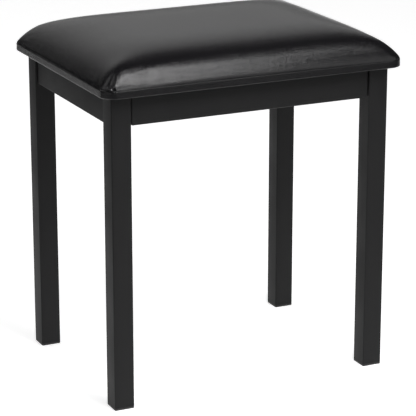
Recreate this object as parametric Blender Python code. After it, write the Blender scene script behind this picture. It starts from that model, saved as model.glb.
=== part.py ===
"""Piano bench: a bolted steel frame that carries an upholstered seat. Metres, +Z up.

The origin is on the floor under the middle of the bench. +X runs along the seat and -Y is the front.
Four square legs are joined by four folded sheet-steel aprons. The seat is a plywood board with a domed
foam pad, both wrapped in a stapled cover. Four bolts through the long aprons hold it to the frame.
"""

import math

import bmesh
import bpy
from mathutils import Matrix, Vector

# Driving dimensions
FRAME_LENGTH = 0.432  # outside of the legs, along X
FRAME_DEPTH = 0.316  # outside of the legs, along Y
FRAME_TOP = 0.4577  # top of the legs and of the aprons
SEAT_LENGTH = 0.466  # outside of the cover, along X
SEAT_DEPTH = 0.356  # outside of the cover, along Y
SEAT_CORNER = 0.022  # corner radius of the cover, seen from above
DOME_HEIGHT = 0.0443  # from the crease at the board's edge to the top of the seat
LEG_WIDTH = 0.030
APRON_HEIGHT = 0.044
GAP = 0.0003  # left between neighbours that touch

# Frame
LEG_WALL = 0.0015
LEG_EDGE = 0.002  # outside corner radius of the tube
SHEET = 0.0015  # apron sheet
FOLD_RADIUS = 0.0022  # outside of an apron's folds
APRON_SETBACK = 0.0025  # from a leg's outer face to the apron's
TOP_FLANGE = 0.026
BOTTOM_LIP = 0.010
FOOT_FLANGE = 0.003
FOOT_STEM = 0.014
FOOT_WALL = 0.002
FOOT_EDGE = 0.0008
STEM_EDGE = 0.0005

# Fasteners: M6 button head screws in rivet nuts and T-nuts
SCREW_RADIUS = 0.003
SCREW_LENGTH = 0.014
HEAD_RADIUS = 0.00525
HEAD_HEIGHT = 0.0033
HEAD_PROFILE = ((1, 0), (1, 0.25), (0.86, 0.7), (0.6, 1))  # shares of the head's radius and height
SCREW_CHAMFER = 0.0006
SOCKET_DEPTH = 0.002
SOCKET_FLAT = 0.002  # from the axis to a flat of the hexagon socket
SCREW_HOLE = 0.0035
WASHER_RADIUS = 0.006
WASHER_HEIGHT = 0.001
NUT_BORE = SCREW_RADIUS + GAP
RIVET_NUT_RADIUS = 0.0045
RIVET_NUT_LENGTH = 0.0127
RIVET_FLANGE_RADIUS = 0.006
RIVET_FLANGE = 0.0004
RIVET_COLLAR_RADIUS = 0.0056
RIVET_COLLAR_END = 0.006
T_NUT_BARREL = 0.0044
T_NUT_FLANGE_RADIUS = 0.009
T_NUT_FLANGE = 0.0012
JOINT_STAGGER = 0.010  # the two rivet nuts in a leg sit this far above and below mid-apron
SEAT_SCREW_X = 0.130
CUT_REACH = 0.004  # of a hole's cutter past the pieces that it cuts

# Seat
VINYL = 0.0008
BOARD_BOTTOM = 0.460
BOARD_THICKNESS = 0.009
COVER_GAP = 0.0002  # between the board's top edge and the cover
FLAP_WIDTH = 0.026  # cover turned under the board
ROLL_RADIUS = 0.0025  # cover's outer radius at the board's lower edge
DUST_COVER = 0.0006
DUST_COVER_INSET = 0.012
DOME_X_POWER = 7.0
DOME_X_ROOT = 1.27
DOME_Y_POWER = 5.5
DOME_Y_ROOT = 1.5
BORDER_PULL = 4  # power by which the crown's grid turns to the rounded border
SEAT_CELLS = (10, 8)  # between the corners, along X and Y
CORNER_CELLS = 4  # in half a corner
CORNER_CROWDING = 1.5

SIDES = 12  # of a fastener
FOLD_CELLS = 3
SMOOTH_ANGLE = math.radians(35)

BOARD_TOP = BOARD_BOTTOM + BOARD_THICKNESS
CREASE = BOARD_TOP + COVER_GAP + VINYL
FLAP_TOP = BOARD_BOTTOM - GAP
APRON_MIDDLE = FRAME_TOP - APRON_HEIGHT / 2
TAB_OFFSET = 2 * GAP + RIVET_FLANGE  # from a leg's face to the apron's end
TAB_LENGTH = LEG_WIDTH - APRON_SETBACK

# Colour, roughness and metallic value of each finish
FINISHES = {
    "powder_coat": ((0.020, 0.020, 0.021), 0.45, 0.0),
    "vinyl": ((0.012, 0.012, 0.013), 0.22, 0.0),
    "plywood": ((0.52, 0.36, 0.20), 0.65, 0.0),
    "foam": ((0.80, 0.74, 0.52), 0.95, 0.0),
    "nonwoven": ((0.015, 0.015, 0.016), 0.95, 0.0),
    "black_plastic": ((0.010, 0.010, 0.010), 0.50, 0.0),
    "zinc": ((0.55, 0.55, 0.52), 0.35, 1.0),
}


def clear_scene():
    for thing in list(bpy.data.objects):
        bpy.data.objects.remove(thing, do_unlink=True)


def finish_of(name, finish):
    """A material of this object's own."""
    colour, roughness, metallic = FINISHES[finish]
    material = bpy.data.materials.new(name)
    material.use_nodes = True
    shader = material.node_tree.nodes["Principled BSDF"]
    shader.inputs["Base Color"].default_value = (*colour, 1.0)
    shader.inputs["Roughness"].default_value = roughness
    shader.inputs["Metallic"].default_value = metallic
    material.diffuse_color = (*colour, 1.0)
    return material


def add_object(name, mesh, finish, smooth=False):
    if smooth:
        mesh.shade_smooth()
        mesh.set_sharp_from_angle(angle=SMOOTH_ANGLE)
    if finish:
        mesh.materials.append(finish_of(name, finish))
    thing = bpy.data.objects.new(name, mesh)
    bpy.context.scene.collection.objects.link(thing)
    return thing


def mesh_of(name, points, faces):
    """A mesh with its faces turned outwards."""
    mesh = bpy.data.meshes.new(name)
    mesh.from_pydata(points, [], faces)
    work = bmesh.new()
    work.from_mesh(mesh)
    bmesh.ops.remove_doubles(work, verts=work.verts, dist=1e-6)
    bmesh.ops.recalc_face_normals(work, faces=work.faces)
    work.to_mesh(mesh)
    work.free()
    return mesh


def rings_mesh(name, rings, closed=False):
    """Rings of equal length joined in order. The last joins the first if closed, or else both ends are capped."""
    count = len(rings[0])
    points = [point for ring in rings for point in ring]
    faces = []
    for i in range(len(rings) if closed else len(rings) - 1):
        here = i * count
        after = (i + 1) % len(rings) * count
        for j in range(count):
            k = (j + 1) % count
            faces.append((here + j, here + k, after + k, after + j))
    if not closed:
        faces.append(tuple(range(count)))
        faces.append(tuple(range(len(points) - count, len(points))))
    return mesh_of(name, points, faces)


def aim(thing, position, direction):
    """Turn the object's +Z to a direction and set its place."""
    turn = Vector((0, 0, 1)).rotation_difference(Vector(direction)).to_matrix().to_4x4()
    thing.matrix_world = Matrix.Translation(position) @ turn


def cutter(name, mesh):
    thing = add_object(name, mesh, None)
    thing.hide_render = True
    thing.display_type = "WIRE"
    return thing


def cut(thing, tool):
    boolean = thing.modifiers.new(tool.name, "BOOLEAN")
    boolean.operation = "DIFFERENCE"
    boolean.solver = "EXACT"
    boolean.object = tool


# Outlines


def rounded_corner(length, depth, radius, along_y):
    """The point of a rounded rectangle's edge +X that takes a square's edge point at this height, from -1 to 1."""
    half_x = length / 2
    half_y = depth / 2
    y = abs(along_y) * half_y
    turn = max(0.0, y - (half_y - radius)) / radius * math.pi / 4
    x = half_x - radius + radius * math.cos(turn)
    y = min(y, half_y - radius) + radius * math.sin(turn)
    return x, math.copysign(y, along_y)


def on_outline(u, v, length, depth, radius):
    """Move a point of the square's outline, where u or v is 1 or -1, to the rounded rectangle's outline."""
    if abs(u) >= abs(v):
        x, y = rounded_corner(length, depth, radius, v)
        return math.copysign(x, u), y
    y, x = rounded_corner(depth, length, radius, u)
    return x, math.copysign(y, v)


def stations(cells, width):
    """Stations from -1 to 1 across the seat, with more of them over its corners."""
    straight = 1 - 2 * SEAT_CORNER / width
    middle = [straight * (2 * i / cells - 1) for i in range(cells + 1)]
    crowded = [1 - (1 - i / CORNER_CELLS) ** CORNER_CROWDING for i in range(1, CORNER_CELLS + 1)]
    corner = [straight + (1 - straight) * share for share in crowded]
    return [-value for value in reversed(corner)] + middle + corner


def seat_stations():
    """The seat's grid of columns and rows."""
    return stations(SEAT_CELLS[0], SEAT_LENGTH), stations(SEAT_CELLS[1], SEAT_DEPTH)


def border(columns, rows):
    """The outline of a grid of stations, in order."""
    first = [(u, rows[0]) for u in columns[:-1]]
    second = [(columns[-1], v) for v in rows[:-1]]
    third = [(u, rows[-1]) for u in columns[:0:-1]]
    fourth = [(columns[0], v) for v in rows[:0:-1]]
    return first + second + third + fourth


def outline_ring(outline, length, depth, radius, height):
    return [(*on_outline(u, v, length, depth, radius), height) for u, v in outline]


def plate(name, length, depth, radius, bottom, top, edge, finish):
    """A flat plate with rounded corners and edges."""
    outline = border(*seat_stations())
    inset = 2 * edge
    rings = [
        outline_ring(outline, length - inset, depth - inset, radius - edge, bottom),
        outline_ring(outline, length, depth, radius, bottom + edge),
        outline_ring(outline, length, depth, radius, top - edge),
        outline_ring(outline, length - inset, depth - inset, radius - edge, top),
    ]
    return add_object(name, rings_mesh(name, rings), finish)


# Frame


def square_ring(width, radius, height, cells=3):
    """A square with round corners."""
    ring = []
    middle = width / 2 - radius
    for quarter in range(4):
        start = quarter * math.pi / 2
        centre = Vector((middle, middle))
        centre.rotate(Matrix.Rotation(start, 2))
        for i in range(cells + 1):
            angle = start + i / cells * math.pi / 2
            ring.append((centre.x + radius * math.cos(angle), centre.y + radius * math.sin(angle), height))
    return ring


def add_leg(name, x, y):
    bottom = FOOT_FLANGE + GAP
    inside = LEG_WIDTH - 2 * LEG_WALL
    inner_edge = LEG_EDGE - LEG_WALL
    rings = [
        square_ring(LEG_WIDTH, LEG_EDGE, bottom),
        square_ring(LEG_WIDTH, LEG_EDGE, FRAME_TOP),
        square_ring(inside, inner_edge, FRAME_TOP),
        square_ring(inside, inner_edge, bottom),
    ]
    leg = add_object(name, rings_mesh(name, rings, closed=True), "powder_coat", smooth=True)
    leg.location = (x, y, 0)
    return leg


def add_foot(name, x, y):
    """A plastic plug: a flange under the tube and a hollow stem inside it."""
    stem = LEG_WIDTH - 2 * LEG_WALL - 2 * GAP
    top = FOOT_FLANGE + FOOT_STEM
    rings = [
        square_ring(LEG_WIDTH - 2 * FOOT_EDGE, LEG_EDGE, 0),
        square_ring(LEG_WIDTH, LEG_EDGE, FOOT_EDGE),
        square_ring(LEG_WIDTH, LEG_EDGE, FOOT_FLANGE),
        square_ring(stem, STEM_EDGE, FOOT_FLANGE),
        square_ring(stem, STEM_EDGE, top),
        square_ring(stem - 2 * FOOT_WALL, STEM_EDGE, top),
        square_ring(stem - 2 * FOOT_WALL, STEM_EDGE, FOOT_FLANGE),
    ]
    foot = add_object(name, rings_mesh(name, rings), "black_plastic", smooth=True)
    foot.location = (x, y, 0)
    return foot


def folded(distance, half, depth):
    """Along and inward place of a sheet's point, from its distance along the flat sheet and its depth in it."""
    flat = half - FOLD_RADIUS
    beyond = abs(distance) - flat
    quarter = FOLD_RADIUS * math.pi / 2
    if beyond <= 0:
        return distance, depth
    if beyond >= quarter:
        return math.copysign(half - depth, distance), FOLD_RADIUS + beyond - quarter
    angle = beyond / FOLD_RADIUS
    along = flat + (FOLD_RADIUS - depth) * math.sin(angle)
    return math.copysign(along, distance), FOLD_RADIUS - (FOLD_RADIUS - depth) * math.cos(angle)


def fold_stations(half, low_flange, high_flange):
    """Distances along the flat sheet: a flange, a fold, the web, a fold and a flange."""
    flat = half - FOLD_RADIUS
    quarter = FOLD_RADIUS * math.pi / 2
    fold = [flat + quarter * i / FOLD_CELLS for i in range(FOLD_CELLS + 1)]
    low = [-(fold[-1] + low_flange - FOLD_RADIUS)] + [-value for value in reversed(fold)]
    high = fold + [fold[-1] + high_flange - FOLD_RADIUS]
    return low + high


def apron_mesh(name, length):
    """A web with a flange along the top, a lip along the bottom and a tab at each end, all folded inwards.

    It lies in the XZ plane with its outer face at y = 0 and folds towards +Y. The corners are notched.
    """
    columns = fold_stations(length / 2, TAB_LENGTH, TAB_LENGTH)
    rows = fold_stations(APRON_HEIGHT / 2, BOTTOM_LIP, TOP_FLANGE)
    web = FOLD_CELLS + 1  # index of the web's first station
    in_web_x = range(web, len(columns) - 1 - web)
    in_web_z = range(web, len(rows) - 1 - web)
    cells = set()
    for i in range(len(columns) - 1):
        for j in range(len(rows) - 1):
            if i in in_web_x or j in in_web_z:
                cells.add((i, j))

    points = {}
    faces = []

    def point(i, j, depth):
        x, inward_x = folded(columns[i], length / 2, depth)
        z, inward_z = folded(rows[j], APRON_HEIGHT / 2, depth)
        key = (i, j, depth)
        if key not in points:
            points[key] = (len(points), (x, max(inward_x, inward_z), z))
        return points[key][0]

    for i, j in sorted(cells):
        corners = ((i, j), (i + 1, j), (i + 1, j + 1), (i, j + 1))
        faces.append([point(a, b, 0) for a, b in corners])
        faces.append([point(a, b, SHEET) for a, b in reversed(corners)])
        beside = ((i, j - 1), (i + 1, j), (i, j + 1), (i - 1, j))
        for side in range(4):
            if beside[side] not in cells:
                a = corners[side]
                b = corners[(side + 1) % 4]
                faces.append([point(*a, 0), point(*a, SHEET), point(*b, SHEET), point(*b, 0)])
    places = [place for _, place in sorted(points.values())]
    return mesh_of(name, places, faces)


def add_aprons():
    """Front, rear, left and right apron between the legs, with the side of the frame that each closes."""
    spans = {
        "front": (FRAME_LENGTH, FRAME_DEPTH, 0),
        "right": (FRAME_DEPTH, FRAME_LENGTH, 90),
        "rear": (FRAME_LENGTH, FRAME_DEPTH, 180),
        "left": (FRAME_DEPTH, FRAME_LENGTH, 270),
    }
    aprons = {}
    for side, (along, across, angle) in spans.items():
        name = f"apron_{side}"
        length = along - 2 * (LEG_WIDTH + TAB_OFFSET)
        apron = add_object(name, apron_mesh(name, length), "powder_coat", smooth=True)
        turn = Matrix.Rotation(math.radians(angle), 4, "Z")
        outer_face = -across / 2 + APRON_SETBACK
        apron.matrix_world = turn @ Matrix.Translation((0, outer_face, APRON_MIDDLE))
        aprons[side] = apron
    return aprons


# Fasteners, each turned about +Z


def round_ring(radius, height):
    turns = [2 * math.pi * i / SIDES for i in range(SIDES)]
    return [(radius * math.cos(turn), radius * math.sin(turn), height) for turn in turns]


def hexagon_ring(flat, height):
    """The socket's hexagon, with a point at each corner and in the middle of each flat."""
    ring = []
    for i in range(SIDES):
        turn = 2 * math.pi * i / SIDES
        radius = flat if i % 2 else flat / math.cos(math.pi / 6)
        ring.append((radius * math.cos(turn), radius * math.sin(turn), height))
    return ring


def screw_mesh():
    """The head bears on z = 0 and the shank runs down from there."""
    rings = [
        round_ring(SCREW_RADIUS - SCREW_CHAMFER, -SCREW_LENGTH),
        round_ring(SCREW_RADIUS, -SCREW_LENGTH + SCREW_CHAMFER),
        round_ring(SCREW_RADIUS, 0),
    ]
    rings += [round_ring(HEAD_RADIUS * radius, HEAD_HEIGHT * height) for radius, height in HEAD_PROFILE]
    rings.append(hexagon_ring(SOCKET_FLAT, HEAD_HEIGHT))
    rings.append(hexagon_ring(SOCKET_FLAT, HEAD_HEIGHT - SOCKET_DEPTH))
    return rings_mesh("screw", rings)


def tube_mesh(name, bore, steps):
    """A bored piece whose outer profile is a list of radius and height steps."""
    rings = [round_ring(bore, steps[0][1])]
    rings += [round_ring(radius, height) for radius, height in steps]
    rings.append(round_ring(bore, steps[-1][1]))
    return rings_mesh(name, rings, closed=True)


def washer_mesh():
    return tube_mesh("washer", SCREW_HOLE, [(WASHER_RADIUS, 0), (WASHER_RADIUS, WASHER_HEIGHT)])


def rivet_nut_mesh():
    """The leg's outer face is z = 0. A flange stands on it and a collar is drawn up behind the wall."""
    behind = -LEG_WALL - GAP
    steps = [
        (RIVET_NUT_RADIUS, -RIVET_NUT_LENGTH),
        (RIVET_NUT_RADIUS, -RIVET_COLLAR_END),
        (RIVET_COLLAR_RADIUS, -RIVET_COLLAR_END + 0.001),
        (RIVET_COLLAR_RADIUS, behind),
        (RIVET_NUT_RADIUS, behind),
        (RIVET_NUT_RADIUS, GAP),
        (RIVET_FLANGE_RADIUS, GAP),
        (RIVET_FLANGE_RADIUS, GAP + RIVET_FLANGE),
    ]
    return tube_mesh("rivet_nut", NUT_BORE, steps)


def t_nut_mesh():
    """The flange's top is z = 0 and the barrel runs down through the board."""
    steps = [
        (T_NUT_BARREL, -BOARD_THICKNESS + 2 * GAP),
        (T_NUT_BARREL, -T_NUT_FLANGE),
        (T_NUT_FLANGE_RADIUS, -T_NUT_FLANGE),
        (T_NUT_FLANGE_RADIUS, 0),
    ]
    return tube_mesh("t_nut", NUT_BORE, steps)


def joint_cutter_mesh():
    """A stepped hole: the rivet nut's in the leg's wall and the screw's in the apron's tab."""
    step = GAP + RIVET_FLANGE / 2
    rings = [
        round_ring(RIVET_NUT_RADIUS + GAP, -CUT_REACH),
        round_ring(RIVET_NUT_RADIUS + GAP, step),
        round_ring(SCREW_HOLE, step),
        round_ring(SCREW_HOLE, CUT_REACH),
    ]
    return rings_mesh("joint_hole", rings)


def seat_cutter_mesh():
    """A stepped hole, up from the apron's flange, through the dust cover and the board to the T-nut's flange."""
    barrel_hole = T_NUT_BARREL + GAP
    flange_hole = T_NUT_FLANGE_RADIUS + 2 * GAP
    counterbore = BOARD_TOP - T_NUT_FLANGE - GAP
    rings = [
        round_ring(SCREW_HOLE, FRAME_TOP - CUT_REACH),
        round_ring(SCREW_HOLE, FRAME_TOP + GAP / 2),
        round_ring(barrel_hole, FRAME_TOP + GAP / 2),
        round_ring(barrel_hole, counterbore),
        round_ring(flange_hole, counterbore),
        round_ring(flange_hole, BOARD_TOP + CUT_REACH),
    ]
    return rings_mesh("seat_hole", rings)


def leg_joints():
    """Each leg's two joints: the leg's name, its signs, the apron's side, the joint's place and its direction."""
    joints = []
    for leg, sx, sy in leg_signs():
        x = sx * (FRAME_LENGTH - LEG_WIDTH) / 2
        y = sy * (FRAME_DEPTH - LEG_WIDTH) / 2
        inner_x = x - sx * LEG_WIDTH / 2
        inner_y = y - sy * LEG_WIDTH / 2
        long_apron = "front" if sy < 0 else "rear"
        short_apron = "left" if sx < 0 else "right"
        joints.append((leg, long_apron, (inner_x, y, APRON_MIDDLE + JOINT_STAGGER), (-sx, 0, 0)))
        joints.append((leg, short_apron, (x, inner_y, APRON_MIDDLE - JOINT_STAGGER), (0, -sy, 0)))
    return joints


def leg_signs():
    return (("front_left", -1, -1), ("front_right", 1, -1), ("rear_right", 1, 1), ("rear_left", -1, 1))


def add_frame_joints(legs, aprons):
    meshes = {"screw": screw_mesh(), "washer": washer_mesh(), "rivet_nut": rivet_nut_mesh()}
    hole = joint_cutter_mesh()
    washer_offset = TAB_OFFSET + SHEET + GAP
    offsets = {"rivet_nut": 0, "washer": washer_offset, "screw": washer_offset + WASHER_HEIGHT + GAP}
    for leg, side, place, direction in leg_joints():
        tool = cutter(f"hole_{leg}_{side}", hole)
        aim(tool, place, direction)
        cut(legs[leg], tool)
        cut(aprons[side], tool)
        for kind, mesh in meshes.items():
            piece = add_object(f"frame_{kind}_{leg}_{side}", mesh.copy(), "zinc", smooth=True)
            aim(piece, Vector(place) + Vector(direction) * offsets[kind], direction)


def add_seat_joints(aprons, board, dust_cover):
    """Four screws up through the long aprons into T-nuts let into the board's top."""
    under_flange = FRAME_TOP - SHEET - GAP
    heights = {"washer": under_flange, "screw": under_flange - WASHER_HEIGHT - GAP}
    meshes = {"screw": screw_mesh(), "washer": washer_mesh()}
    t_nut = t_nut_mesh()
    hole = seat_cutter_mesh()
    row = FRAME_DEPTH / 2 - APRON_SETBACK - TOP_FLANGE / 2 - SHEET
    for corner, sx, sy in leg_signs():
        x = sx * SEAT_SCREW_X
        y = sy * row
        tool = cutter(f"hole_seat_{corner}", hole)
        tool.location = (x, y, 0)
        for thing in (aprons["front" if sy < 0 else "rear"], board, dust_cover):
            cut(thing, tool)
        for kind, mesh in meshes.items():
            piece = add_object(f"seat_{kind}_{corner}", mesh.copy(), "zinc", smooth=True)
            aim(piece, (x, y, heights[kind]), (0, 0, -1))
        nut = add_object(f"t_nut_{corner}", t_nut.copy(), "zinc", smooth=True)
        nut.location = (x, y, BOARD_TOP)


# Seat


def dome(u, v):
    """Height of the seat's crown as a share of DOME_HEIGHT, for u and v from -1 to 1."""
    along = max(0.0, 1 - abs(u) ** DOME_X_POWER) ** (1 / DOME_X_ROOT)
    across = max(0.0, 1 - abs(v) ** DOME_Y_POWER) ** (1 / DOME_Y_ROOT)
    return along * across


def dome_point(u, v, inset, base):
    """A point of the crown over a rounded rectangle that is smaller all round by inset."""
    length = SEAT_LENGTH - 2 * inset
    depth = SEAT_DEPTH - 2 * inset
    reach = max(abs(u), abs(v))
    x = u * length / 2
    y = v * depth / 2
    if reach > 0:
        edge_x, edge_y = on_outline(u / reach, v / reach, length, depth, SEAT_CORNER - inset)
        pull = reach**BORDER_PULL
        x += (edge_x * reach - x) * pull
        y += (edge_y * reach - y) * pull
    top = CREASE + DOME_HEIGHT - inset
    return x, y, base + (top - base) * dome(u, v)


def dome_grid(inset, base):
    """The crown as rows of points."""
    columns, rows = seat_stations()
    return [[dome_point(u, v, inset, base) for u in columns] for v in rows]


def grid_faces(points, grid):
    """Add a grid to a list of points and return its faces."""
    start = len(points)
    width = len(grid[0])
    points.extend(point for row in grid for point in row)
    faces = []
    for j in range(len(grid) - 1):
        for i in range(width - 1):
            corner = start + j * width + i
            faces.append((corner, corner + 1, corner + width + 1, corner + width))
    return faces


def skirt_faces(points, rings):
    start = len(points)
    count = len(rings[0])
    points.extend(point for ring in rings for point in ring)
    faces = []
    for i in range(len(rings) - 1):
        for j in range(count):
            k = (j + 1) % count
            here = start + i * count
            faces.append((here + j, here + k, here + count + k, here + count + j))
    return faces


def add_foam():
    inset = VINYL + 2 * GAP
    base = BOARD_TOP + GAP
    points = []
    faces = grid_faces(points, dome_grid(inset, base))
    length = SEAT_LENGTH - 2 * inset
    depth = SEAT_DEPTH - 2 * inset
    start = len(points)
    points.extend(outline_ring(border(*seat_stations()), length, depth, SEAT_CORNER - inset, base))
    faces.append(tuple(range(start, len(points))))
    return add_object("seat_foam", mesh_of("seat_foam", points, faces), "foam", smooth=True)


def cover_ring(inset, height):
    radius = max(SEAT_CORNER - inset, GAP)
    outline = border(*seat_stations())
    return outline_ring(outline, SEAT_LENGTH - 2 * inset, SEAT_DEPTH - 2 * inset, radius, height)


def add_cover():
    """A skin over the crown, down the board's edge, round its lower edge and under it."""
    crease_inside = CREASE - VINYL
    points = []
    faces = grid_faces(points, dome_grid(0, CREASE))
    faces += grid_faces(points, dome_grid(VINYL, crease_inside))
    flap_bottom = FLAP_TOP - VINYL
    corner = ROLL_RADIUS * (1 - math.sqrt(0.5))
    inner_roll = ROLL_RADIUS - VINYL
    inner_corner = inner_roll * (1 - math.sqrt(0.5))
    rings = [
        cover_ring(0, CREASE),
        cover_ring(0, flap_bottom + ROLL_RADIUS),
        cover_ring(corner, flap_bottom + corner),
        cover_ring(ROLL_RADIUS, flap_bottom),
        cover_ring(FLAP_WIDTH, flap_bottom),
        cover_ring(FLAP_WIDTH, FLAP_TOP),
        cover_ring(ROLL_RADIUS, FLAP_TOP),
        cover_ring(VINYL + inner_corner, FLAP_TOP + inner_corner),
        cover_ring(VINYL, FLAP_TOP + inner_roll),
        cover_ring(VINYL, crease_inside),
    ]
    faces += skirt_faces(points, rings)
    return add_object("seat_cover", mesh_of("seat_cover", points, faces), "vinyl", smooth=True)


def add_board():
    inset = 2 * (VINYL + GAP)
    radius = SEAT_CORNER - VINYL - GAP
    length = SEAT_LENGTH - inset
    depth = SEAT_DEPTH - inset
    edge = ROLL_RADIUS - VINYL
    return plate("seat_board", length, depth, radius, BOARD_BOTTOM, BOARD_TOP, edge, "plywood")


def add_dust_cover():
    inset = 2 * DUST_COVER_INSET
    bottom = FRAME_TOP + GAP
    top = bottom + DUST_COVER
    radius = SEAT_CORNER - DUST_COVER_INSET
    edge = DUST_COVER / 4
    length = SEAT_LENGTH - inset
    return plate("dust_cover", length, SEAT_DEPTH - inset, radius, bottom, top, edge, "nonwoven")


def build():
    clear_scene()
    legs = {}
    for name, sx, sy in leg_signs():
        x = sx * (FRAME_LENGTH - LEG_WIDTH) / 2
        y = sy * (FRAME_DEPTH - LEG_WIDTH) / 2
        legs[name] = add_leg(f"leg_{name}", x, y)
        add_foot(f"foot_{name}", x, y)
    aprons = add_aprons()
    board = add_board()
    dust_cover = add_dust_cover()
    add_foam()
    add_cover()
    add_frame_joints(legs, aprons)
    add_seat_joints(aprons, board, dust_cover)


build()
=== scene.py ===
"""Looks of the piano bench: powder-coated frame, leatherette seat, fasteners, studio and camera.

Every piece is made in the frame's own metres, +Z up, with -Y as the front. Sizes are read from the CAD
boxes where the CAD states them, and the rest are named below.
"""

import math

import bmesh
import bpy
import numpy as np
from mathutils import Matrix, Vector


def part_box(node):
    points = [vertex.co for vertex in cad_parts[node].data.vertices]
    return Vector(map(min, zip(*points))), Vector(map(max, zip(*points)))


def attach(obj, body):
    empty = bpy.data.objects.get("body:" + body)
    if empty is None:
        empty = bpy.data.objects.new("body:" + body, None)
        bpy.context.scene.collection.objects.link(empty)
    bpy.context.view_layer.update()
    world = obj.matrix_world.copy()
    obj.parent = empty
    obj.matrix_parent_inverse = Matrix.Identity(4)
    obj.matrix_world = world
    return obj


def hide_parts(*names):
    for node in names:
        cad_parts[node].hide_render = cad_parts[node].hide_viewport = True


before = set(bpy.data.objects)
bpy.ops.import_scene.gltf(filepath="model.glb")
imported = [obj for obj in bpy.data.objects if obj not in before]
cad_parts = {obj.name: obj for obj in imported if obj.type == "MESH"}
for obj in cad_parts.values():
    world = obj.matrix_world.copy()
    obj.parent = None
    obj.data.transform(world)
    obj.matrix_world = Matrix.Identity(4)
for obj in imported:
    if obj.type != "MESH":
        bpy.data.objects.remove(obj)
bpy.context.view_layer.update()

# Camera. The focal length is in frame widths
CAMERA_PLACE = Vector((-1.2731, -2.6894, 1.1487))
CAMERA_YAW = math.radians(25.41)
CAMERA_PITCH = math.radians(17.18)
FOCAL_LENGTH = 5.018
SENSOR = 36.0

# Room. The camera sees a plain backdrop. What the bench reflects is a dim room with pale areas, each with its
# azimuth and elevation, its full and its outer radius in degrees, and its radiance
BACKDROP = 0.8
ROOM_GREY = 0.02
PALE_AREAS = (
    (15, 15, 25, 27, 0.35),
    (15, 24, 8, 20, 0.12),
    (-70, 51, 15, 20, 1.2),
    (100, 0, 10, 30, 0.3),
)

# Softboxes that face the seat: azimuth, elevation, distance, width and height, and radiance
SOFTBOXES = {
    "key": (143, 62, 1.7, (0.98, 0.32), 6.0),
    "key_middle": (153, 62, 1.7, (0.78, 0.32), 5.4),
    "key_left": (180, 45, 0.9, (0.40, 0.62), 12.0),
    "key_low": (158, 23, 1.7, (1.10, 1.9), 1.9),
}
SOFTBOX_SPREAD = 100
CEILING = (25, 80, 4.0, (4.0, 5.0), 0.9)
CEILING_SPREAD = 179

# Floor. To reflections it is painted light: a painted glowing pool of light along the camera's heading, a
# second painted pool beside it, and a rest painted darker as painted shade
FLOOR_HALF = 30
POOL_NEAR = -0.1
POOL_FAR = 3.4
POOL_WIDENING = 0.25
POOL_EDGE = (0.5, 1.5)
PAINTED_POOL_GLOW = 0.72
SIDE_POOL = (-1.5, -0.35)
SIDE_POOL_EDGE = (0.6, 1.5)
PAINTED_SIDE_GLOW = 0.7
FLOOR_PALE = 0.8
FLOOR_PAINTED_SHADE = 0.35

# Seat: the skin's thickness, the crown's curves, the corners' stuffing, and the crease, band, roll and flap
VINYL = 0.0007
DOME_X_POWER = 7.0
DOME_X_ROOT = 1.27
DOME_Y_POWER = 5.5
DOME_Y_ROOT = 1.5
BORDER_PULL = 4
FULL_CORNER = 5
FULL_PULL = 10
FULL_FROM = 0.3
FULL_TO = 0.8
OTHER_FULLNESS = 0.65
CORNER = 0.022
CREASE_TUCK = 0.0002
CREASE_GROOVE = 0.0007
SWELL_HEIGHT = 0.005
SWELL_FADE = 1.6
BAND_INSET = 0.0003
BAND_LEAN = 0.0003
BAND_TOP = 0.001
BAND_SHARES = (0, 0.16, 0.33, 0.5, 0.67, 0.84, 1)
ROLL = 0.0014
ROLL_RINGS = 6
FLAP = 0.026
FLAP_PITCH = 0.006
FLAP_CORNER = 0.0004

# Staples, and the pulls that they leave in the skin above the crease
STAPLE_PITCH = 0.028
STAPLE_INSET = 0.015
STAPLE_MARGIN = 0.012
STAPLE_WIDTH = 0.010
STAPLE_BEND = 0.0005
STAPLE_WIRE = 0.0011
STAPLE_THICKNESS = 0.00045
STAPLE_WANDER = 0.0025
STAPLE_SKEW = 7
PULL_SHIFT_X = 0.004
PULL_SHIFT_Y = -0.009
PULL_DEPTH = 0.0002
PULL_HEIGHT = 0.008
PULL_FADE = 0.009

# Corner folds: the slit's turn round each corner from the seat's end, in degrees, and the folds' strength
SLIT_TURNS = {"front_left": 74, "front_right": 80, "rear_right": 66, "rear_left": 80}
SLIT_STRENGTHS = {"front_left": 1.0, "front_right": 0.35, "rear_right": 0.9, "rear_left": 0.25}
FOLD_REACH = 0.007
SLIT_RISE = (-0.0005, 0.0015)
SLIT_WIDTH = 0.0006
SLIT_DEPTH = 0.0021
SLIT_FOOT = 0.003
SLIT_HEIGHT = 0.0035
SLIT_LEAN = 0.16
BAND_SLIT = 0.0009
LAP = 0.0008
LAP_START = math.radians(8)
LAP_EASE = 0.003
LAP_STEP = 0.0005
LAP_TOP = 0.007
LAP_FOOT = 0.002
PANEL = 0.0009
PANEL_STEP = 0.0004
PANEL_TOP = 0.02
PANEL_FOOT = 0.004
CORNER_BULK = 0.0004
BULK_HEIGHT = 0.003
BULK_SIZE = 0.011

# Gathered skin beside the slit: how far it stands out, its place from the slit and above the crease, its size
PILLOW = 0.0016
PILLOW_PLACE = (-0.0085, 0.003)
PILLOW_SIZE = (0.0036, 0.003)
KNOB = 0.0007
KNOB_PLACE = (-0.0012, 0.004)
KNOB_SIZE = (0.0007, 0.0034)

# Grids of the skin, its simulation and the foam: cells along X, along Y and over each corner
SKIN_CELLS = (76, 60, 44)
SIMULATION_CELLS = (52, 40, 10)
FOAM_CELLS = (40, 32, 10)
MIDDLE_TURN = math.radians(77)
CORNER_CROWDING = 1.5

# Simulation, and the foam under the skin
SIMULATION_FRAMES = 20
SIMULATION_CAP = 0.0006
SKIN_SHRINK = 0.002
FOAM_HOLD_EDGE = 0.12
FOAM_HOLD_TOP = 0.35
FOAM_INSET = 0.0032
FOAM_GAP = 0.0004

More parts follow.
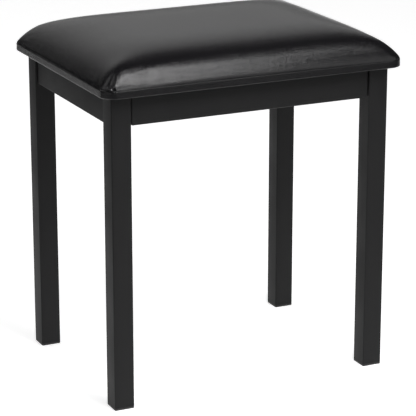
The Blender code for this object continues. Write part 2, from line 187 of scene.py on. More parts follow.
# Dust cloth
CLOTH_CELLS = (110, 84)
CLOTH_CORNER = 0.010
CLOTH_SAG = 0.0022
CLOTH_RIPPLE = 0.00025
CLOTH_THICKNESS = 0.0004
CLOTH_HOLE = 0.0045

# Frame
LEG_WALL = 0.0015
LEG_EDGE = 0.002
LEG_EDGE_CELLS = 7
BURR = 0.0003
FOOT_FLANGE = 0.003
FOOT_ROUNDING = 0.0008
FOOT_WALL = 0.002
STEM_GAP = 0.0006
STEM_EDGE = 0.0005
RIB_DEPTH = 0.0008
RIB_PITCH = 0.003
SHEET = 0.0015
FOLD_RADIUS = 0.0022
FOLD_CELLS = 8
BOTTOM_LIP = 0.010
TOP_FLANGE = 0.026

# Fasteners
HEAD_HEIGHT = 0.0033
HEAD_RADIUS = 0.00525
HEAD_SKIRT = 0.0008
HEAD_FLAT = 0.0029
HEAD_TURN = math.radians(62)
CHAMFER = 0.0003
SCREW_RADIUS = 0.003
SCREW_LENGTH = 0.014
SCREW_HOLE = 0.0035
THREAD_PITCH = 0.001
THREAD_DEPTH = 0.0004
SOCKET_FLAT = 0.002
SOCKET_DEPTH = 0.002
WASHER_HEIGHT = 0.001
WASHER_RADIUS = 0.006
WASHER_EDGE = 0.00015
RIVET_RADIUS = 0.0045
RIVET_FLARE = ((0.0045, 0.0072), (0.0050, 0.0068), (0.0056, 0.0058))
RIVET_COLLAR = 0.0056
RIVET_GAP = 0.0006
RIVET_FLANGE_RADIUS = 0.006
RIVET_FLANGE = 0.0004
RIVET_EDGE = 0.0001
T_NUT_BARREL = 0.0044
T_NUT_LENGTH = 0.0084
T_NUT_FLANGE_RADIUS = 0.009
T_NUT_FLANGE = 0.0012
T_NUT_EDGE = 0.0002
NUT_BORE = 0.0033
NUT_HOLE = 0.0048
CUT_REACH = 0.0035
TURN_SIDES = 36

# Shading: the angle in degrees past which an edge stays hard
SMOOTH_ANGLE = 35
SKIN_SMOOTH_ANGLE = 60

CORNERS = ("front_left", "front_right", "rear_right", "rear_left")
SEAT_LOW, SEAT_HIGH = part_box("seat_cover")
BOARD_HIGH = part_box("seat_board")[1]
HALF_X = SEAT_HIGH.x
HALF_Y = SEAT_HIGH.y
CREASE = BOARD_HIGH.z + 0.001
DOME_HEIGHT = SEAT_HIGH.z - CREASE


# Camera and studio


def add_camera():
    data = bpy.data.cameras.new("camera")
    data.sensor_width = SENSOR
    data.lens = FOCAL_LENGTH * SENSOR
    data.clip_end = 50
    camera = bpy.data.objects.new("camera", data)
    bpy.context.scene.collection.objects.link(camera)
    camera.location = CAMERA_PLACE
    camera.rotation_euler = (math.pi / 2 - CAMERA_PITCH, 0, -CAMERA_YAW)
    bpy.context.scene.camera = camera


add_camera()


# Materials


class Graph:
    """A Principled material that is built node by node."""

    def __init__(self, name, colour, roughness, metallic=0.0):
        self.material = bpy.data.materials.new(name)
        self.material.use_nodes = True
        self.tree = self.material.node_tree
        self.shader = self.tree.nodes["Principled BSDF"]
        self.set("Base Color", (*colour, 1))
        self.set("Roughness", roughness)
        self.set("Metallic", metallic)
        self.place = self.node("ShaderNodeTexCoord").outputs["Object"]
        self.bumps = None

    def node(self, kind, inputs=None, **settings):
        made = self.tree.nodes.new(kind)
        for key, value in settings.items():
            setattr(made, key, value)
        for key, value in (inputs or {}).items():
            if isinstance(value, bpy.types.NodeSocket):
                self.tree.links.new(value, made.inputs[key])
            else:
                made.inputs[key].default_value = value
        return made

    def set(self, socket, value):
        if isinstance(value, bpy.types.NodeSocket):
            self.tree.links.new(value, self.shader.inputs[socket])
        else:
            self.shader.inputs[socket].default_value = value

    def noise(self, scale, detail=2.0, place=None, roughness=0.5, distortion=0.0):
        inputs = {"Vector": place or self.place, "Scale": scale, "Detail": detail, "Roughness": roughness}
        inputs["Distortion"] = distortion
        return self.node("ShaderNodeTexNoise", inputs).outputs["Fac"]

    def cells(self, scale, feature="F1", place=None):
        inputs = {"Vector": place or self.place, "Scale": scale}
        return self.node("ShaderNodeTexVoronoi", inputs, feature=feature).outputs["Distance"]

    def stretched(self, scale):
        return self.node("ShaderNodeMapping", {"Vector": self.place, "Scale": scale}).outputs["Vector"]

    def remap(self, value, low, high, to_low, to_high):
        inputs = {"Value": value, "From Min": low, "From Max": high, "To Min": to_low, "To Max": to_high}
        return self.node("ShaderNodeMapRange", inputs).outputs["Result"]

    def soft_edge(self, distance, edge, inside):
        """A value that falls smoothly to 0 from the edge's inner distance to its outer one."""
        inputs = {"Value": distance, "From Min": edge[0], "From Max": edge[1], "To Min": inside}
        inputs["To Max"] = 0.0
        return self.node("ShaderNodeMapRange", inputs, interpolation_type="SMOOTHSTEP").outputs["Result"]

    def math(self, operation, a, b):
        return self.node("ShaderNodeMath", {0: a, 1: b}, operation=operation).outputs[0]

    def blend_colours(self, value, first, second):
        inputs = {"Factor": value, 6: (*first, 1), 7: (*second, 1)}
        return self.node("ShaderNodeMix", inputs, data_type="RGBA").outputs[2]

    def bump(self, height, distance, strength=1.0):
        inputs = {"Height": height, "Distance": distance, "Strength": strength}
        if self.bumps:
            inputs["Normal"] = self.bumps
        self.bumps = self.node("ShaderNodeBump", inputs).outputs["Normal"]
        self.set("Normal", self.bumps)


def leatherette():
    """Glossy black PU with a fine pebbled grain."""
    g = Graph("leatherette", (0.007, 0.007, 0.0075), 0.1)
    g.set("IOR", 1.4)
    drift = g.noise(320, 2)
    warp = g.node("ShaderNodeVectorMath", {0: g.place}, operation="ADD")
    offset = g.node("ShaderNodeVectorMath", {0: drift, 1: (0.0008, 0.0008, 0.0008)}, operation="MULTIPLY")
    g.tree.links.new(offset.outputs[0], warp.inputs[1])
    pebble = g.remap(g.cells(620, "DISTANCE_TO_EDGE", warp.outputs[0]), 0.0, 0.22, 0.0, 1.0)
    fine = g.noise(2600, 3)
    mottle = g.noise(26, 3)
    g.set("Base Color", g.blend_colours(mottle, (0.005, 0.005, 0.0055), (0.0075, 0.007, 0.0078)))
    worn = g.remap(mottle, 0.3, 0.7, 0.08, 0.095)
    g.set("Roughness", g.math("ADD", worn, g.remap(pebble, 0, 1, 0.02, 0.0)))
    g.bump(g.noise(55, 2), 0.00002, 0.5)
    g.bump(pebble, 0.0001, 0.75)
    g.bump(fine, 0.00002, 0.6)
    return g.material


def powder_coat():
    """Satin black powder coat with a fine orange peel."""
    g = Graph("powder_coat", (0.015, 0.015, 0.0155), 0.5)
    g.set("Specular IOR Level", 0.15)
    cloud = g.noise(18, 3)
    g.set("Base Color", g.blend_colours(cloud, (0.013, 0.013, 0.0135), (0.017, 0.0168, 0.017)))
    speckle = g.noise(2400, 2)
    patches = g.remap(cloud, 0.3, 0.7, 0.47, 0.56)
    g.set("Roughness", g.math("ADD", patches, g.remap(speckle, 0.3, 0.7, -0.03, 0.05)))
    g.bump(g.noise(420, 2), 0.00007, 0.5)
    g.bump(speckle, 0.00002, 0.6)
    return g.material


def moulded_plastic():
    """Matt black moulded polyethylene."""
    g = Graph("moulded_plastic", (0.01, 0.01, 0.01), 0.5)
    spark = g.noise(3200, 2)
    smear = g.noise(140, 3)
    g.set("Base Color", g.blend_colours(smear, (0.008, 0.008, 0.008), (0.014, 0.014, 0.014)))
    g.set("Roughness", g.remap(smear, 0.3, 0.7, 0.44, 0.6))
    g.bump(spark, 0.00004, 0.7)
    return g.material


def zinc_steel():
    """Clear zinc plating: turned marks and a cloudy passivation."""
    g = Graph("zinc_steel", (0.55, 0.55, 0.52), 0.33, 1.0)
    cloud = g.noise(220, 3)
    g.set("Base Color", g.blend_colours(cloud, (0.46, 0.46, 0.45), (0.62, 0.61, 0.57)))
    g.set("Roughness", g.remap(cloud, 0.3, 0.7, 0.24, 0.42))
    inputs = {"Vector": g.place, "Scale": 900.0, "Distortion": 1.2}
    rings = g.node("ShaderNodeTexWave", inputs, wave_type="RINGS", rings_direction="Z")
    g.bump(rings.outputs["Fac"], 0.00002, 0.5)
    return g.material


def plywood():
    """Poplar plywood: long grain on the faces and stripes of veneer along the edges."""
    g = Graph("plywood", (0.52, 0.36, 0.20), 0.65)
    grain = g.noise(1.0, 5, g.stretched((9, 160, 160)), 0.6, 0.4)
    inputs = {"Vector": g.place, "Scale": 55.0, "Distortion": 0.6}
    veneer = g.node("ShaderNodeTexWave", inputs, bands_direction="Z").outputs["Fac"]
    mixed = g.math("ADD", g.math("MULTIPLY", grain, 0.7), g.math("MULTIPLY", veneer, 0.3))
    figure = g.remap(mixed, 0.25, 0.8, 0, 1)
    g.set("Base Color", g.blend_colours(figure, (0.40, 0.25, 0.12), (0.66, 0.49, 0.30)))
    g.set("Roughness", g.remap(grain, 0.3, 0.7, 0.58, 0.75))
    g.bump(grain, 0.00025, 0.6)
    return g.material


def open_foam():
    """Cream polyurethane foam with small pores, painted darker in the pores' pits as painted shade, with
    blotches of random tone.
    """
    g = Graph("open_foam", (0.80, 0.74, 0.52), 0.95)
    pores = g.cells(520)
    blotch = g.noise(30, 3)
    # Painted shade: the colour is darker in the pores' pits, which the bump sinks; the blotches are random
    # tone
    shade = g.math("MULTIPLY", pores, blotch)
    g.set("Base Color", g.blend_colours(shade, (0.70, 0.62, 0.40), (0.86, 0.80, 0.60)))
    g.bump(pores, 0.0006, 0.9)
    return g.material


def nonwoven():
    """Spunbond polypropylene: random fibres with a grid of small heat-pressed points."""
    g = Graph("nonwoven", (0.015, 0.015, 0.016), 0.92)
    g.set("Sheen Weight", 0.25)
    g.set("Sheen Roughness", 0.5)
    one_way = g.noise(1.0, 4, g.stretched((300, 2600, 2600)), 0.7, 1.5)
    other_way = g.noise(1.0, 4, g.stretched((2600, 350, 2600)), 0.7, 1.5)
    fibres = g.math("MAXIMUM", one_way, other_way)
    inputs = {"Vector": g.place, "Rotation": (0, 0, math.radians(45)), "Scale": (1, 1, 0)}
    points = g.cells(650, "F1", g.node("ShaderNodeMapping", inputs).outputs["Vector"])
    pressed = g.remap(points, 0.18, 0.32, 0, 1)
    g.set("Base Color", g.blend_colours(fibres, (0.008, 0.008, 0.009), (0.032, 0.032, 0.034)))
    g.set("Roughness", g.remap(pressed, 0, 1, 0.6, 0.95))
    g.bump(fibres, 0.00012, 0.8)
    g.bump(pressed, 0.00010, 0.8)
    return g.material


def studio_floor():
    """Plain and pale to the camera. To reflections it is painted light: it glows in a painted pool round the
    bench and one beside it, and elsewhere its colour is painted darker as painted shade.
    """
    g = Graph("studio_floor", (FLOOR_PALE,) * 3, 0.75)
    turned = g.node("ShaderNodeMapping", {"Vector": g.place, "Rotation": (0, 0, CAMERA_YAW)})
    split = g.node("ShaderNodeSeparateXYZ", {"Vector": turned.outputs["Vector"]})
    across = split.outputs["X"]
    along = split.outputs["Y"]
    past_near = g.math("SUBTRACT", POOL_NEAR, along)
    past_far = g.math("SUBTRACT", along, POOL_FAR)
    past_end = g.math("MAXIMUM", g.math("MAXIMUM", past_near, past_far), 0.0)
    squares = g.math("ADD", g.math("POWER", past_end, 2.0), g.math("MULTIPLY", across, across))
    spread = g.math("ADD", g.math("MULTIPLY", g.math("MAXIMUM", along, 0.0), POOL_WIDENING), 1.0)
    reach = g.math("DIVIDE", g.math("SQRT", squares, 0.0), spread)
    seen = g.node("ShaderNodeLightPath").outputs["Is Camera Ray"]
    pool = g.math("MAXIMUM", g.soft_edge(reach, POOL_EDGE, 1.0), seen)
    beside = g.node("ShaderNodeVectorMath", {0: g.place, 1: (*SIDE_POOL, 0)}, operation="DISTANCE")
    side = g.soft_edge(beside.outputs["Value"], SIDE_POOL_EDGE, PAINTED_SIDE_GLOW)
    # Painted shade: the floor's colour is pale in the pools and darker outside them
    g.set("Base Color", g.blend_colours(pool, (FLOOR_PAINTED_SHADE,) * 3, (FLOOR_PALE,) * 3))
    g.set("Emission Color", (1, 1, 1, 1))
    # Painted light: the floor glows in the pools, though it is no lamp
    g.set("Emission Strength", g.math("MAXIMUM", g.math("MULTIPLY", pool, PAINTED_POOL_GLOW), side))
    return g.material


FINISH = {
    "leatherette": leatherette(),
    "powder_coat": powder_coat(),
    "foot_plastic": moulded_plastic(),
    "zinc_steel": zinc_steel(),
    "plywood": plywood(),
    "foam": open_foam(),
    "nonwoven": nonwoven(),
}


# Shared mesh tools


def mesh_object(name, points, faces, smooth_angle=SMOOTH_ANGLE):
    """A mesh object with its faces turned outwards."""
    mesh = bpy.data.meshes.new(name)
    mesh.from_pydata(points, [], faces)
    work = bmesh.new()
    work.from_mesh(mesh)
    bmesh.ops.remove_doubles(work, verts=work.verts, dist=1e-6)
    bmesh.ops.recalc_face_normals(work, faces=work.faces)
    work.to_mesh(mesh)
    work.free()
    mesh.shade_smooth()
    mesh.set_sharp_from_angle(angle=math.radians(smooth_angle))
    thing = bpy.data.objects.new(name, mesh)
    bpy.context.scene.collection.objects.link(thing)
    return thing


def finished(thing, slot, *nodes):
    """Give a piece the material named by its slot, attach it to the root body, and hide the CAD nodes that it
    stands for.
    """
    thing.data.materials.clear()
    thing.data.materials.append(FINISH[slot])
    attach(thing, "root")
    if nodes:
        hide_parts(*nodes)


def rings_object(name, rings, closed=False):
    """Rings of equal length joined in order. Closed joins the last to the first, and open caps both ends."""
    count = len(rings[0])
    points = [point for ring in rings for point in ring]
    faces = []
    for i in range(len(rings) if closed else len(rings) - 1):
        here = i * count
        after = (i + 1) % len(rings) * count
        for j in range(count):
            k = (j + 1) % count
            faces.append((here + j, here + k, after + k, after + j))
    if not closed:
        faces.append(tuple(range(count)))
        faces.append(tuple(range(len(points) - count, len(points))))
    return mesh_object(name, points, faces)


def apply_modifiers(thing):
    graph = bpy.context.evaluated_depsgraph_get()
    mesh = bpy.data.meshes.new_from_object(thing.evaluated_get(graph))
    thing.modifiers.clear()
    thing.data = mesh


def drill(thing, tools):
    """Cut the tools out of a mesh."""
    for tool in tools:
        boolean = thing.modifiers.new("drill", "BOOLEAN")
        boolean.operation = "DIFFERENCE"
        boolean.solver = "EXACT"
        boolean.object = tool
    apply_modifiers(thing)
    thing.data.shade_smooth()
    thing.data.set_sharp_from_angle(angle=math.radians(SMOOTH_ANGLE))


# Legs, feet and aprons


def square_ring(centre, width, radius, height):
    ring = []
    middle = width / 2 - radius
    for quarter in range(4):
        start = quarter * math.pi / 2
        corner = Vector((middle, middle))
        corner.rotate(Matrix.Rotation(start, 2))
        for i in range(LEG_EDGE_CELLS + 1):
            angle = start + i / LEG_EDGE_CELLS * math.pi / 2
            x = centre.x + corner.x + radius * math.cos(angle)
            y = centre.y + corner.y + radius * math.sin(angle)
            ring.append((x, y, height))
    return ring


def add_leg(corner):
    """A square tube with rounded corners and deburred ends."""
    low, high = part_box(f"leg_{corner}")
    centre = (low + high) / 2
    width = high.x - low.x
    inside = width - 2 * LEG_WALL
    inner_edge = LEG_EDGE - LEG_WALL
    rings = [
        square_ring(centre, width - 2 * BURR, LEG_EDGE - BURR, low.z),
        square_ring(centre, width, LEG_EDGE, low.z + BURR),
        square_ring(centre, width, LEG_EDGE, high.z - BURR),
        square_ring(centre, width - 2 * BURR, LEG_EDGE - BURR, high.z),
        square_ring(centre, inside, inner_edge, high.z),
        square_ring(centre, inside, inner_edge, low.z),
    ]
    leg = rings_object(f"leg_tube_{corner}", rings, closed=True)
    holes = []
    for side in corner.split("_"):
        node = f"frame_rivet_nut_{corner}_{side}"
        holes.append(hole_tool(node, side, NUT_HOLE))
    drill(leg, holes)
    discard(holes)
    finished(leg, "powder_coat", f"leg_{corner}")


def add_foot(corner):
    """A moulded plug: a rounded flange under the tube and a hollow, ribbed stem inside it."""
    low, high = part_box(f"foot_{corner}")
    centre = (low + high) / 2
    width = high.x - low.x
    flange = low.z + FOOT_FLANGE
    stem = width - 2 * LEG_WALL - STEM_GAP
    neck = stem - RIB_DEPTH
    bore = stem - 2 * FOOT_WALL
    steps = []
    for i in range(5):
        turn = i / 4 * math.pi / 2
        inset = FOOT_ROUNDING * (1 - math.sin(turn))
        steps.append((width - 2 * inset, LEG_EDGE - inset / 2, low.z + FOOT_ROUNDING * (1 - math.cos(turn))))
    steps += [(width, LEG_EDGE, flange), (neck, STEM_EDGE, flange)]
    for i in range(3):
        rib = flange + 0.002 + i * RIB_PITCH
        steps += [(neck, STEM_EDGE, rib), (stem, STEM_EDGE, rib + 0.0006), (neck, STEM_EDGE, rib + 0.0018)]
    steps += [(neck, STEM_EDGE, high.z - 0.001), (stem - 0.002, STEM_EDGE, high.z)]
    steps += [(bore, STEM_EDGE, high.z), (bore, STEM_EDGE, flange)]
    rings = [square_ring(centre, *step) for step in steps]
    foot = rings_object(f"foot_plug_{corner}", rings)
    finished(foot, "foot_plastic", f"foot_{corner}")


def folded(distance, half, depth):
    """Along and inward place of a sheet's point, from its distance along the flat sheet and its depth."""
    flat = half - FOLD_RADIUS
    beyond = abs(distance) - flat
    quarter = FOLD_RADIUS * math.pi / 2
    if beyond <= 0:
        return distance, depth
    if beyond >= quarter:
        return math.copysign(half - depth, distance), FOLD_RADIUS + beyond - quarter
    angle = beyond / FOLD_RADIUS
    along = flat + (FOLD_RADIUS - depth) * math.sin(angle)
    return math.copysign(along, distance), FOLD_RADIUS - (FOLD_RADIUS - depth) * math.cos(angle)


def fold_stations(half, low_flange, high_flange):
    """Distances along the flat sheet: a flange, a fold, the web, a fold and a flange."""
    flat = half - FOLD_RADIUS
    quarter = FOLD_RADIUS * math.pi / 2
    fold = [flat + quarter * i / FOLD_CELLS for i in range(FOLD_CELLS + 1)]
    low = [-(fold[-1] + low_flange - FOLD_RADIUS)] + [-value for value in reversed(fold)]
    high = fold + [fold[-1] + high_flange - FOLD_RADIUS]
    return low + high


def apron_geometry(length, height, tab):
    """A web with a top flange, a bottom lip and an end tab at each end, folded towards +Y from y = 0."""
    columns = fold_stations(length / 2, tab, tab)
    rows = fold_stations(height / 2, BOTTOM_LIP, TOP_FLANGE)
    web = FOLD_CELLS + 1
    in_web_x = range(web, len(columns) - 1 - web)
    in_web_z = range(web, len(rows) - 1 - web)
    kept = set()
    for i in range(len(columns) - 1):
        for j in range(len(rows) - 1):
            if i in in_web_x or j in in_web_z:
                kept.add((i, j))
    index = {}
    points = []
    faces = []

    def point(i, j, depth):
        key = (i, j, depth)
        if key not in index:
            x, inward_x = folded(columns[i], length / 2, depth)
            z, inward_z = folded(rows[j], height / 2, depth)
            index[key] = len(points)
            points.append(Vector((x, max(inward_x, inward_z), z)))
        return index[key]

    for i, j in sorted(kept):
        corners = ((i, j), (i + 1, j), (i + 1, j + 1), (i, j + 1))
        faces.append([point(a, b, 0) for a, b in corners])
        faces.append([point(a, b, SHEET) for a, b in reversed(corners)])
        beside = ((i, j - 1), (i + 1, j), (i, j + 1), (i - 1, j))
        for side in range(4):
            if beside[side] not in kept:
                a = corners[side]
                b = corners[(side + 1) % 4]
                faces.append([point(*a, 0), point(*a, SHEET), point(*b, SHEET), point(*b, 0)])
    return points, faces


def add_apron(side):
    low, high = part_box(f"apron_{side}")
    centre = (low + high) / 2
    size = high - low
    turns = {"front": 0, "right": 90, "rear": 180, "left": 270}
    turn = Matrix.Rotation(math.radians(turns[side]), 4, "Z")
    along_x = side in ("front", "rear")
    length = size.x if along_x else size.y
    tab = size.y if along_x else size.x
    outwards = turn @ Vector((0, -1, 0))
    origin = centre + outwards * tab / 2
    points, faces = apron_geometry(length, size.z, tab)
    place = Matrix.Translation(origin) @ turn
    apron = mesh_object(f"apron_sheet_{side}", [place @ point for point in points], faces)
    holes = []
    for corner in CORNERS:
        if side in corner.split("_"):
            holes.append(hole_tool(f"frame_washer_{corner}_{side}", side, SCREW_HOLE))
            if along_x:
                holes.append(hole_tool(f"seat_washer_{corner}", None, SCREW_HOLE))
    drill(apron, holes)
    discard(holes)
    finished(apron, "powder_coat", f"apron_{side}")


# Fasteners, each turned about its own +Z


def joint_direction(corner, side):
    """The way a joint's screw head faces: into the frame, along X for the long aprons and Y for the short."""
    if side is None:
        return Vector((0, 0, -1))
    low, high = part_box(f"leg_{corner}")
    centre = (low + high) / 2
    if side in ("front", "rear"):
        return Vector((-math.copysign(1, centre.x), 0, 0))
    return Vector((0, -math.copysign(1, centre.y), 0))


def corner_of(node):
    return next(corner for corner in CORNERS if corner in node)


def seat_on(node, direction, top):
    """Placement of a turned piece whose own z = top lies at the node's end in this direction."""
    low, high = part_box(node)
    centre = (low + high) / 2
    half = abs((high - low).dot(direction)) / 2
    turn = Vector((0, 0, 1)).rotation_difference(direction).to_matrix().to_4x4()
    return Matrix.Translation(centre + direction * (half - top)) @ turn


def round_ring(radius, height):
    turns = [2 * math.pi * i / TURN_SIDES for i in range(TURN_SIDES)]
    return [(radius * math.cos(turn), radius * math.sin(turn), height) for turn in turns]


def hexagon_ring(flat, height):
    ring = []
    for i in range(TURN_SIDES):
        turn = 2 * math.pi * i / TURN_SIDES
        from_flat = (turn + math.pi / 6) % (math.pi / 3) - math.pi / 6
        radius = flat / math.cos(from_flat)
        ring.append((radius * math.cos(turn), radius * math.sin(turn), height))
    return ring


def screw_rings():
    """A button head over z = 0 with a hexagon socket, and a ridged shank below it."""
    rings = [round_ring(SCREW_RADIUS - 2 * THREAD_DEPTH, -SCREW_LENGTH)]
    for i in range(int(SCREW_LENGTH / THREAD_PITCH) - 1):
        height = THREAD_DEPTH - SCREW_LENGTH + i * THREAD_PITCH
        rings.append(round_ring(SCREW_RADIUS, height + THREAD_PITCH * 0.3))
        rings.append(round_ring(SCREW_RADIUS - THREAD_DEPTH, height + THREAD_PITCH * 0.8))
    rings.append(round_ring(SCREW_RADIUS, -2 * CHAMFER))
    rings.append(round_ring(SCREW_RADIUS, 0))
    rings.append(round_ring(HEAD_RADIUS - CHAMFER, 0))
    rings.append(round_ring(HEAD_RADIUS, CHAMFER))
    for i in range(7):
        turn = i / 6 * HEAD_TURN
        radius = HEAD_FLAT + (HEAD_RADIUS - HEAD_FLAT) * math.cos(turn)
        height = HEAD_SKIRT + (HEAD_HEIGHT - HEAD_SKIRT) * math.sin(turn) / math.sin(HEAD_TURN)
        rings.append(round_ring(radius, height))
    rings.append(hexagon_ring(SOCKET_FLAT + CHAMFER, HEAD_HEIGHT))
    rings.append(hexagon_ring(SOCKET_FLAT, HEAD_HEIGHT - CHAMFER))
    rings.append(hexagon_ring(SOCKET_FLAT, HEAD_HEIGHT - SOCKET_DEPTH))
    return rings


def bored_rings(bore, steps):
    rings = [round_ring(bore, steps[0][1])]
    rings += [round_ring(radius, height) for radius, height in steps]
    rings.append(round_ring(bore, steps[-1][1]))
    return rings


def washer_rings():
    steps = [
        (WASHER_RADIUS - WASHER_EDGE, 0),
        (WASHER_RADIUS, WASHER_EDGE),
        (WASHER_RADIUS, WASHER_HEIGHT - WASHER_EDGE),
        (WASHER_RADIUS - WASHER_EDGE, WASHER_HEIGHT),
    ]
    return bored_rings(SCREW_HOLE, steps)


def rivet_nut_rings():
    """The flange's top is z = 0. Behind the leg's wall a collar is drawn up."""
    low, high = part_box("frame_rivet_nut_front_left_front")
    length = high.x - low.x
    behind = -RIVET_FLANGE - LEG_WALL - RIVET_GAP
    steps = [(RIVET_RADIUS, -length)]
    steps += [(radius, -depth) for radius, depth in RIVET_FLARE]
    steps += [
        (RIVET_COLLAR, behind - CHAMFER),
        (RIVET_COLLAR - CHAMFER, behind),
        (RIVET_RADIUS, behind),
        (RIVET_RADIUS, -RIVET_FLANGE),
        (RIVET_FLANGE_RADIUS - RIVET_EDGE, -RIVET_FLANGE),
        (RIVET_FLANGE_RADIUS, RIVET_EDGE - RIVET_FLANGE),
        (RIVET_FLANGE_RADIUS, -RIVET_EDGE),
        (RIVET_FLANGE_RADIUS - RIVET_EDGE, 0),
    ]
    return bored_rings(NUT_BORE, steps)


def t_nut_rings():
    """The flange's top is z = 0 and the barrel runs down through the board."""
    steps = [
        (T_NUT_BARREL, -T_NUT_LENGTH),
        (T_NUT_BARREL, -T_NUT_FLANGE),
        (T_NUT_FLANGE_RADIUS - T_NUT_EDGE, -T_NUT_FLANGE),
        (T_NUT_FLANGE_RADIUS, T_NUT_EDGE - T_NUT_FLANGE),
        (T_NUT_FLANGE_RADIUS, -T_NUT_EDGE),
        (T_NUT_FLANGE_RADIUS - T_NUT_EDGE, 0),
    ]
    return bored_rings(NUT_BORE, steps)


def hole_tool(node, side, radius):
    """A short round cutter through the sheet beside a fastener."""
    corner = corner_of(node)
    direction = joint_direction(corner, side)
    tool = rings_object("hole_tool", [round_ring(radius, -CUT_REACH), round_ring(radius, CUT_REACH)])
    tool.matrix_world = seat_on(node, direction, 0.0)
    return tool


def discard(things):
    for thing in things:
        bpy.data.objects.remove(thing, do_unlink=True)


def add_fastener(kind, node, direction):
    shapes = {
        "screw": (screw_rings, HEAD_HEIGHT, False),
        "washer": (washer_rings, WASHER_HEIGHT, True),
        "rivet_nut": (rivet_nut_rings, 0.0, True),
        "t_nut": (t_nut_rings, 0.0, True),
    }
    rings, top, closed = shapes[kind]
    piece = rings_object(node.replace(kind, f"{kind}_turned"), rings(), closed)
    piece.matrix_world = seat_on(node, direction, top)
    finished(piece, "zinc_steel", node)


def add_fasteners():
    for corner in CORNERS:
        for side in corner.split("_"):
            for kind in ("screw", "washer", "rivet_nut"):
                add_fastener(kind, f"frame_{kind}_{corner}_{side}", joint_direction(corner, side))
        for kind in ("screw", "washer"):
            add_fastener(kind, f"seat_{kind}_{corner}", Vector((0, 0, -1)))
        add_fastener("t_nut", f"t_nut_{corner}", Vector((0, 0, 1)))


# Seat shape, on arrays of stations u and v from -1 to 1


def crowded(middle_cells, corner_cells, half):
    """Stations from -1 to 1, finer over the corners and finest at the ends."""
    straight = 1 - CORNER / half
    steps = np.linspace(-1, 1, middle_cells + 1) * MIDDLE_TURN
    middle = straight * np.sin(steps) / math.sin(MIDDLE_TURN)
    steps = np.linspace(0, 1, corner_cells + 1)[1:]
    corner = straight + (1 - straight) * (1 - (1 - steps) ** CORNER_CROWDING)
    return np.concatenate([-corner[::-1], middle, corner])


def on_outline(u, v, half_x, half_y, radius):
    """Move points of the square's outline, where u or v is 1 or -1, to a rounded rectangle's outline."""
    y = np.abs(v) * half_y
    x = np.abs(u) * half_x
    turn_y = np.clip(y - (half_y - radius), 0, None) / radius * math.pi / 4
    turn_x = np.clip(x - (half_x - radius), 0, None) / radius * math.pi / 4
    side = np.abs(u) >= np.abs(v)
    side_x = half_x - radius + radius * np.cos(turn_y)
    side_y = np.minimum(y, half_y - radius) + radius * np.sin(turn_y)
    end_y = half_y - radius + radius * np.cos(turn_x)
    end_x = np.minimum(x, half_x - radius) + radius * np.sin(turn_x)
    return np.where(side, side_x, end_x) * np.sign(u), np.where(side, side_y, end_y) * np.sign(v)


def smooth_step(value, low, high):
    share = np.clip((value - low) / (high - low), 0, 1)
    return share * share * (3 - 2 * share)


def mound(value, middle, width, power=2):
    """A smooth bump that is 1 at its middle."""
    return np.exp(-(((value - middle) / width) ** power))


def fullness(u, v):
    """How squarely each corner is stuffed: fully at two opposite corners, less at the others."""
    others = OTHER_FULLNESS * smooth_step(-u * v, FULL_FROM, FULL_TO)
    return np.maximum(smooth_step(u * v, FULL_FROM, FULL_TO), others)


def plan(u, v, half_x, half_y, radius):
    """Place of the square's points over the rounded rectangle."""
    reach = np.maximum(np.maximum(np.abs(u), np.abs(v)), 1e-9)
    edge_x, edge_y = on_outline(u / reach, v / reach, half_x, half_y, radius)
    pull = reach ** (BORDER_PULL + FULL_PULL * fullness(u, v))
    x = u * half_x
    y = v * half_y
    return x + (edge_x * reach - x) * pull, y + (edge_y * reach - y) * pull


def crown(u, v):
    """Height of the seat as a share of its full height."""
    along = np.clip(1 - np.abs(u) ** DOME_X_POWER, 0, 1) ** (1 / DOME_X_ROOT)
    across = np.clip(1 - np.abs(v) ** DOME_Y_POWER, 0, 1) ** (1 / DOME_Y_ROOT)
    plain = along * across
    full = 1 - ((1 - along) ** FULL_CORNER + (1 - across) ** FULL_CORNER) ** (1 / FULL_CORNER)
    return plain + (np.clip(full, 0, 1) - plain) * fullness(u, v)


def outward(x, y):
    """Unit direction from the rounded rectangle's inside to its edge, in plan."""
    dx = np.sign(x) * np.clip(np.abs(x) - (HALF_X - CORNER), 0, None)
    dy = np.sign(y) * np.clip(np.abs(y) - (HALF_Y - CORNER), 0, None)
    length = np.maximum(np.hypot(dx, dy), 1e-9)
    return dx / length, dy / length


def around(x, y):
    """Distance round a quarter of the seat's edge, from the middle of its end to the middle of its side."""
    straight_x = HALF_X - CORNER
    straight_y = HALF_Y - CORNER
    past_x = np.abs(x) - straight_x
    past_y = np.abs(y) - straight_y
    turn = np.clip(np.arctan2(past_y, past_x), 0, math.pi / 2)
    in_corner = (past_x > 0) & (past_y > 0)
    on_end = ~in_corner & (past_x > past_y)
    walk = straight_y + CORNER * math.pi / 2 + straight_x - np.abs(x)
    walk = np.where(on_end, np.abs(y), walk)
    return np.where(in_corner, straight_y + turn * CORNER, walk)


def corner_turn(x, y):
    """Turn round the nearest corner from the seat's end, 0 to a right angle."""
    return np.arctan2(np.abs(y) - (HALF_Y - CORNER), np.abs(x) - (HALF_X - CORNER))


def by_corner(x, y, values):
    """Each point's value from its own corner."""
    chosen = np.zeros_like(x)
    for name, value in values.items():
        row, column = name.split("_")
        chosen[((y < 0) == (row == "front")) & ((x < 0) == (column == "left"))] = value
    return chosen


